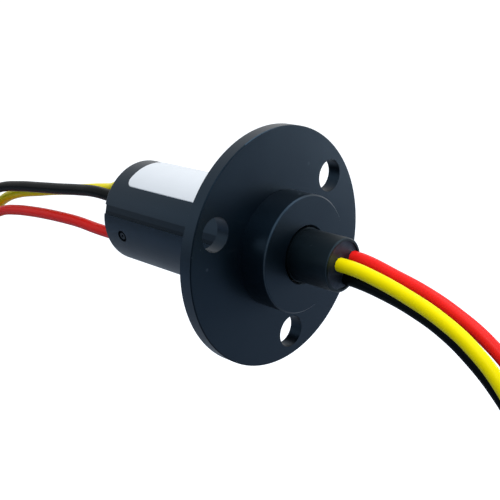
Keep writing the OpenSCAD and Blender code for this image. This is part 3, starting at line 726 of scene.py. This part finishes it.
def seal_height(y, z, places, lumps):
    """Height of the compound over the seal's face, in millimetres."""
    radius = math.hypot(y, z)
    height = WALL_CREEP_MM * math.exp(-(MOUTH_RADIUS_MM - radius) / WALL_REACH_MM)
    for place_y, place_z in places:
        gap = max(0.0, math.hypot(y - place_y, z - place_z) - LEAD_MM / 2)
        height = max(height, LEAD_CREEP_MM * math.exp(-gap / LEAD_REACH_MM))
    for amount, scale, turn in lumps:
        height += amount * math.sin(scale * (y * math.cos(turn) + z * math.sin(turn)) + turn)
    return max(height, 0.0)


def make_seal_skin():
    """A thin closed skin on the seal: a lumpy face with menisci at the leads and at the wall."""
    picked = random.Random(LUMP_SEED)
    lumps = [(LUMP_MM, picked.uniform(*LUMP_SCALES), picked.uniform(0, 6.3))
             for _ in range(LUMP_COUNT)]
    places = [(route[0][1], route[0][2]) for route in ROTOR_ROUTES.values()]
    outer = MOUTH_RADIUS_MM - MOUTH_PLAY_MM
    back_x = (ROTOR_FACE_MM - SEAL_SKIN_MM) * MM
    build = bmesh.new()
    rings = []
    for ring in range(SEAL_RINGS + 1):
        radius = outer * (ring / SEAL_RINGS) ** RING_CROWDING
        spokes = 1 if ring == 0 else SEAL_SPOKES
        row = []
        for spoke in range(spokes):
            turn = 2 * math.pi * spoke / spokes
            y, z = radius * math.cos(turn), radius * math.sin(turn)
            x = ROTOR_FACE_MM + SEAL_RISE_MM + seal_height(y, z, places, lumps)
            row.append(build.verts.new((x * MM, y * MM, z * MM)))
        rings.append(row)
    back = [build.verts.new((back_x, vert.co.y, vert.co.z)) for vert in rings[-1]]
    for spoke in range(SEAL_SPOKES):
        after = (spoke + 1) % SEAL_SPOKES
        build.faces.new((rings[0][0], rings[1][spoke], rings[1][after]))
        for near, far in zip(rings[1:], rings[2:]):
            build.faces.new((near[spoke], far[spoke], far[after], near[after]))
        build.faces.new((rings[-1][spoke], back[spoke], back[after], rings[-1][after]))
    build.faces.new(list(reversed(back)))
    skin = piece_from(build, "rotor_seal_skin", RESIN)
    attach(skin, "rotor")


# ---- Cable ties and stripped ends of the two coils ----

TIE_TILT = 40             # degrees of the tie from the coil's lowest place, towards the part
TIE_WIDTH_MM = 2.6
TIE_THICK_MM = 1.0
TIE_PLAY_MM = 0.02        # between the leads and the band
TIE_INNER_CORNER_MM = 0.5
TIE_CORNER_MM = 1.3
CORNER_STEPS = 6
TIE_HEAD_MM = (3.6, 4.6, 4.0)     # out from the coil, across and along it
HEAD_LIFT_MM = 0.3                # of the head's inner face, over the leads
HEAD_BEVEL_MM = 0.35
HEAD_BEVEL_STEPS = 3
TAIL_MM = (1.0, 2.4, 2.2)         # thickness, length past the head and width
TAIL_DEPTH_MM = 1.9               # of the tail's inner face, under the head's outer face
TAIL_ROOT_MM = 0.2                # how far the tail starts inside the head
TOOTH_MM = (0.15, 0.25, 1.6)      # height, length and width
TOOTH_ROOT_MM = 0.05              # how far a tooth starts inside the tail
TOOTH_START_MM = 0.15             # of the first tooth, past the head
TOOTH_PITCH_MM = 0.5
PICK_MM = 0.01                    # tolerance when the head's edges are picked
STRAND_MM = 0.24
STRAND_TURNS = 0.45
STRAND_LAYS = (1, 6, 12)          # strands in each lay, from the middle out
STRAND_STEPS = 12
STRAND_SIDES = 8
TIP_HEADING = 113                 # degrees of the tips from straight out, the way of the winding
SHARP_ANGLE = 35


def piece_from(build, name, material):
    """A finished smooth-shaded piece from a bmesh, at the origin."""
    bmesh.ops.recalc_face_normals(build, faces=build.faces)
    mesh = bpy.data.meshes.new(name)
    build.to_mesh(mesh)
    build.free()
    mesh.materials.append(material)
    mesh.set_sharp_from_angle(angle=math.radians(SHARP_ANGLE))
    piece = bpy.data.objects.new(name, mesh)
    bpy.context.collection.objects.link(piece)
    return piece


def rounded_loop(low, high, half, corner):
    """Points round a rectangle with round corners: u from low to high and v from -half to half."""
    left, right, top = low + corner, high - corner, half - corner
    points = []
    for centre_u, centre_v, start in (
            (right, top, 0), (left, top, 90), (left, -top, 180), (right, -top, 270)):
        for step in range(CORNER_STEPS + 1):
            turn = math.radians(start + 90 * step / CORNER_STEPS)
            points.append((centre_u + corner * math.cos(turn), centre_v + corner * math.sin(turn)))
    return points


def add_box(build, low, high):
    made = [build.verts.new(corner) for corner in itertools.product(*zip(low, high))]
    for face in ((0, 1, 3, 2), (4, 6, 7, 5), (0, 4, 5, 1),
                 (2, 3, 7, 6), (0, 2, 6, 4), (1, 5, 7, 3)):
        build.faces.new([made[index] for index in face])


def add_band(build, low, high, half):
    """The tie's band round the coil's section, which runs from low to high and -half to half."""
    inside = rounded_loop(low - TIE_PLAY_MM, high + TIE_PLAY_MM, half + TIE_PLAY_MM,
                          TIE_INNER_CORNER_MM)
    outside = rounded_loop(low - TIE_THICK_MM, high + TIE_THICK_MM, half + TIE_THICK_MM,
                           TIE_CORNER_MM)
    edge = TIE_WIDTH_MM / 2
    loops = [[build.verts.new((u, v, w)) for u, v in points]
             for points, w in ((inside, -edge), (outside, -edge), (outside, edge), (inside, edge))]
    for first, second in zip(loops, loops[1:] + loops[:1]):
        for index in range(len(inside)):
            after = (index + 1) % len(inside)
            build.faces.new((first[index], first[after], second[after], second[index]))


def add_head(build, base):
    """The tie's head, with all its edges bevelled; its inner face is at base."""
    out, across, along = TIE_HEAD_MM
    add_box(build, (base, -across / 2, -along / 2), (base + out, across / 2, along / 2))
    edges = [edge for edge in build.edges
             if min(vert.co.x for vert in edge.verts) > base - PICK_MM
             and max(abs(vert.co.z) for vert in edge.verts) > along / 2 - PICK_MM]
    bmesh.ops.bevel(build, geom=edges, offset=HEAD_BEVEL_MM, segments=HEAD_BEVEL_STEPS,
                    affect="EDGES")


def add_tail(build, low, side):
    """The tie's cut tail and its teeth; its inner face is at low and the head's side at side."""
    thick, length, width = TAIL_MM
    add_box(build, (low, side - TAIL_ROOT_MM, -width / 2), (low + thick, side + length, width / 2))
    height, tooth_length, tooth_width = TOOTH_MM
    for tooth in range(int(length / TOOTH_PITCH_MM)):
        start = side + TOOTH_START_MM + tooth * TOOTH_PITCH_MM
        add_box(build, (low - height, start, -tooth_width / 2),
                (low + TOOTH_ROOT_MM, start + tooth_length, tooth_width / 2))


def make_tie(end, centre):
    """A nylon tie round the coil's section: band, head and cut tail."""
    _, _, side, turns, _ = ENDS[end]
    high = COIL_RADIUS_MM + LEAD_MM / 2
    base = high + HEAD_LIFT_MM
    build = bmesh.new()
    add_band(build, coil_inside(turns), high, LEAD_PITCH_MM + LEAD_MM / 2)
    add_head(build, base)
    add_tail(build, base + TIE_HEAD_MM[0] - TAIL_DEPTH_MM, TIE_HEAD_MM[1] / 2)
    angle = -90 + side * TIE_TILT
    place = Matrix.Translation(centre) @ Matrix.Rotation(-math.radians(angle), 4, "Y")
    build.transform(Matrix.Scale(MM, 4) @ place)
    tie = piece_from(build, f"{end}_nylon_tie", NYLON)
    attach(tie, end)
    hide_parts(f"{end}_coil_tie")
    return tie


def strand_tree():
    """Geometry Nodes: twisted strands round one, along +Z, three bundles side by side along Y."""
    tree = bpy.data.node_groups.new("twisted_strands", "GeometryNodeTree")
    for label, value in (("Bundle Length", STRIP_MM * MM), ("Strand Radius", STRAND_MM / 2 * MM),
                         ("Twist", STRAND_TURNS), ("Bundle Pitch", LEAD_PITCH_MM * MM)):
        socket = tree.interface.new_socket(
            name=label, in_out="INPUT", socket_type="NodeSocketFloat")
        socket.default_value = value
    tree.interface.new_socket(name="Metal", in_out="INPUT", socket_type="NodeSocketMaterial")
    tree.interface.new_socket(name="Geometry", in_out="OUTPUT", socket_type="NodeSocketGeometry")
    start = tree.nodes.new("NodeGroupInput")
    end = tree.nodes.new("NodeGroupOutput")
    joined = tree.nodes.new("GeometryNodeJoinGeometry")
    for lay, count in enumerate(STRAND_LAYS):
        helix = tree.nodes.new("GeometryNodeCurveSpiral")
        helix.inputs["Resolution"].default_value = STRAND_STEPS
        off_axis = math_node(tree, "MULTIPLY", start.outputs["Strand Radius"], 2 * lay)
        tree.links.new(off_axis, helix.inputs["Start Radius"])
        tree.links.new(off_axis, helix.inputs["End Radius"])
        tree.links.new(start.outputs["Bundle Length"], helix.inputs["Height"])
        tree.links.new(start.outputs["Twist"], helix.inputs["Rotations"])
        spots = tree.nodes.new("GeometryNodeMeshLine")
        spots.inputs["Count"].default_value = count
        spots.inputs["Offset"].default_value = (0, 0, 0)
        placed = tree.nodes.new("GeometryNodeInstanceOnPoints")
        tree.links.new(spots.outputs[0], placed.inputs["Points"])
        tree.links.new(helix.outputs[0], placed.inputs["Instance"])
        number = tree.nodes.new("GeometryNodeInputIndex")
        turned = tree.nodes.new("ShaderNodeCombineXYZ")
        turn = math_node(tree, "MULTIPLY", number.outputs[0], 2 * math.pi / count)
        tree.links.new(turn, turned.inputs["Z"])
        tree.links.new(turned.outputs[0], placed.inputs["Rotation"])
        tree.links.new(placed.outputs[0], joined.inputs[0])
    paths = tree.nodes.new("GeometryNodeRealizeInstances")
    tree.links.new(joined.outputs[0], paths.inputs[0])
    section = tree.nodes.new("GeometryNodeCurvePrimitiveCircle")
    section.inputs["Resolution"].default_value = STRAND_SIDES
    tree.links.new(start.outputs["Strand Radius"], section.inputs["Radius"])
    swept = tree.nodes.new("GeometryNodeCurveToMesh")
    swept.inputs["Fill Caps"].default_value = True
    tree.links.new(paths.outputs[0], swept.inputs["Curve"])
    tree.links.new(section.outputs[0], swept.inputs["Profile Curve"])
    sides = tree.nodes.new("GeometryNodeMeshLine")
    sides.inputs["Count"].default_value = len(COLOURS)
    for slot, factor in (("Start Location", -1), ("Offset", 1)):
        vector = tree.nodes.new("ShaderNodeCombineXYZ")
        step = math_node(tree, "MULTIPLY", start.outputs["Bundle Pitch"], factor)
        tree.links.new(step, vector.inputs["Y"])
        tree.links.new(vector.outputs[0], sides.inputs[slot])
    bundles = tree.nodes.new("GeometryNodeInstanceOnPoints")
    tree.links.new(sides.outputs[0], bundles.inputs["Points"])
    tree.links.new(swept.outputs[0], bundles.inputs["Instance"])
    solid = tree.nodes.new("GeometryNodeRealizeInstances")
    tree.links.new(bundles.outputs[0], solid.inputs[0])
    metal = tree.nodes.new("GeometryNodeSetMaterial")
    tree.links.new(solid.outputs[0], metal.inputs["Geometry"])
    tree.links.new(start.outputs["Metal"], metal.inputs["Material"])
    tree.links.new(metal.outputs[0], end.inputs[0])
    return tree


def make_strands(end, centre, tree):
    """The coil's three stripped ends as twisted strands."""
    _, _, side, turns, _ = ENDS[end]
    holder = bpy.data.objects.new("strand_holder", bpy.data.meshes.new("strand_holder"))
    bpy.context.collection.objects.link(holder)
    grown = holder.modifiers.new("strands", "NODES")
    grown.node_group = tree
    for socket in tree.interface.items_tree:
        if socket.name == "Metal" and socket.in_out == "INPUT":
            grown[socket.identifier] = TINNED
    view = bpy.context.evaluated_depsgraph_get()
    mesh = bpy.data.meshes.new_from_object(holder.evaluated_get(view))
    bpy.data.objects.remove(holder)
    mesh.name = f"{end}_stripped_strands"
    angle = coil_angle(side, 360 * turns)
    turn = math.radians(angle)
    spot = centre + coil_inside(turns) * Vector((math.cos(turn), 0, math.sin(turn)))
    heading = math.radians(angle - side * TIP_HEADING)
    place = Matrix.Translation(spot * MM) @ Matrix.Rotation(-heading, 4, "Y")
    mesh.transform(place @ Matrix.Rotation(math.radians(90), 4, "Y"))
    strands = bpy.data.objects.new(mesh.name, mesh)
    bpy.context.collection.objects.link(strands)
    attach(strands, end)
    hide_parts(f"{end}_lead_tips")
    return strands


def make_end(end, tree):
    """The leads of an end, and the tie and the stripped tips of their coil."""
    routes, face, side, _, middle = ENDS[end]
    x, y, z = routes[middle][-1]
    centre = coil_centre((x + face, y, z), side)
    tips = make_strands(end, centre, tree)
    tie = make_tie(end, centre)
    make_leads(end)


# ---- Floor, light ----

FLOOR_Z = -0.085
FLOOR_SIZE = 14.0
FLOOR_PALE = (0.29, 0.34, 0.42)
FLOOR_MIRRORED = 0.14     # its lift towards white in reflections, which keep the object's shadow
WORLD_TINT = (0.85, 0.94, 1.0)
WORLD_LIGHT = 0.45


def seen_rays(tree, mirrored):
    """1 for what the camera sees, and mirrored for what it sees by reflection or through glass."""
    rays = tree.nodes.new("ShaderNodeLightPath").outputs
    both = math_node(tree, "ADD", rays["Is Glossy Ray"], rays["Is Transmission Ray"])
    return math_node(tree, "MULTIPLY_ADD", both, mirrored, rays["Is Camera Ray"], clamp=True)


def pale_surface():
    """Pale matt floor, lifted to white for the camera and a little in reflections."""
    material = bpy.data.materials.new("pale_floor")
    material.use_nodes = True
    tree = material.node_tree
    tree.nodes.clear()
    out = tree.nodes.new("ShaderNodeOutputMaterial")
    matt = tree.nodes.new("ShaderNodeBsdfDiffuse")
    matt.inputs["Color"].default_value = (*FLOOR_PALE, 1)
    glow = tree.nodes.new("ShaderNodeEmission")
    tree.links.new(seen_rays(tree, FLOOR_MIRRORED), glow.inputs["Strength"])
    both = tree.nodes.new("ShaderNodeAddShader")
    tree.links.new(matt.outputs[0], both.inputs[0])
    tree.links.new(glow.outputs[0], both.inputs[1])
    tree.links.new(both.outputs[0], out.inputs["Surface"])
    return material


def make_floor():
    mesh = bpy.data.meshes.new("floor")
    half = FLOOR_SIZE / 2
    corners = [(-half, -half), (half, -half), (half, half), (-half, half)]
    mesh.from_pydata([(x, y, FLOOR_Z) for x, y in corners], [], [(0, 1, 2, 3)])
    mesh.materials.append(pale_surface())
    floor = bpy.data.objects.new("floor", mesh)
    bpy.context.collection.objects.link(floor)


def make_world():
    """Even pale surroundings, white where they are seen, mirrored or looked at through glass."""
    world = bpy.data.worlds.new("studio")
    world.use_nodes = True
    tree = world.node_tree
    back = tree.nodes["Background"]
    back.inputs["Color"].default_value = (*WORLD_TINT, 1)
    back.inputs["Strength"].default_value = WORLD_LIGHT
    white = tree.nodes.new("ShaderNodeBackground")
    white.inputs["Color"].default_value = (1, 1, 1, 1)
    pick = tree.nodes.new("ShaderNodeMixShader")
    tree.links.new(seen_rays(tree, 1.0), pick.inputs[0])
    tree.links.new(back.outputs[0], pick.inputs[1])
    tree.links.new(white.outputs[0], pick.inputs[2])
    tree.links.new(pick.outputs[0], tree.nodes["World Output"].inputs["Surface"])
    bpy.context.scene.world = world


def area_light(name, place, target, size, power, colour=(1, 1, 1), spread_degrees=180):
    data = bpy.data.lights.new(name, "AREA")
    data.spread = math.radians(spread_degrees)
    data.shape = "DISK"
    data.size = size
    data.energy = power
    data.color = colour
    lamp = bpy.data.objects.new(name, data)
    lamp.location = place
    aim = Vector(target) - Vector(place)
    lamp.rotation_euler = aim.to_track_quat("-Z", "Y").to_euler()
    bpy.context.collection.objects.link(lamp)


def make_lights():
    area_light("key_softbox", (0.15, -0.15, 0.25), (0, 0, 0), 0.2, 0.52)
    area_light("top_softbox", (0.08, 0.08, 0.28), (0, 0, 0), 0.25, 0.62)
    area_light("back_softbox", (0.12, 0.38, 0.015), (0, 0, 0), 0.2, 0.64, (0.82, 0.93, 1.0))
    area_light("front_softbox", (-0.218, -0.205, 0.112), (0, 0, 0), 0.07, 0.008, (0.9, 0.96, 1.0))
    area_light("floor_softbox", (-0.2, -0.22, 0.15), (-0.17, -0.19, FLOOR_Z), 0.12, 0.14,
               (0.85, 0.94, 1.0), spread_degrees=80)


make_camera()
strands_tree = strand_tree()
for end_name in ENDS:
    make_end(end_name, strands_tree)
make_seal_skin()
finish_nodes()
make_floor()
make_world()
make_lights()
bpy.context.scene.view_settings.view_transform = "Standard"
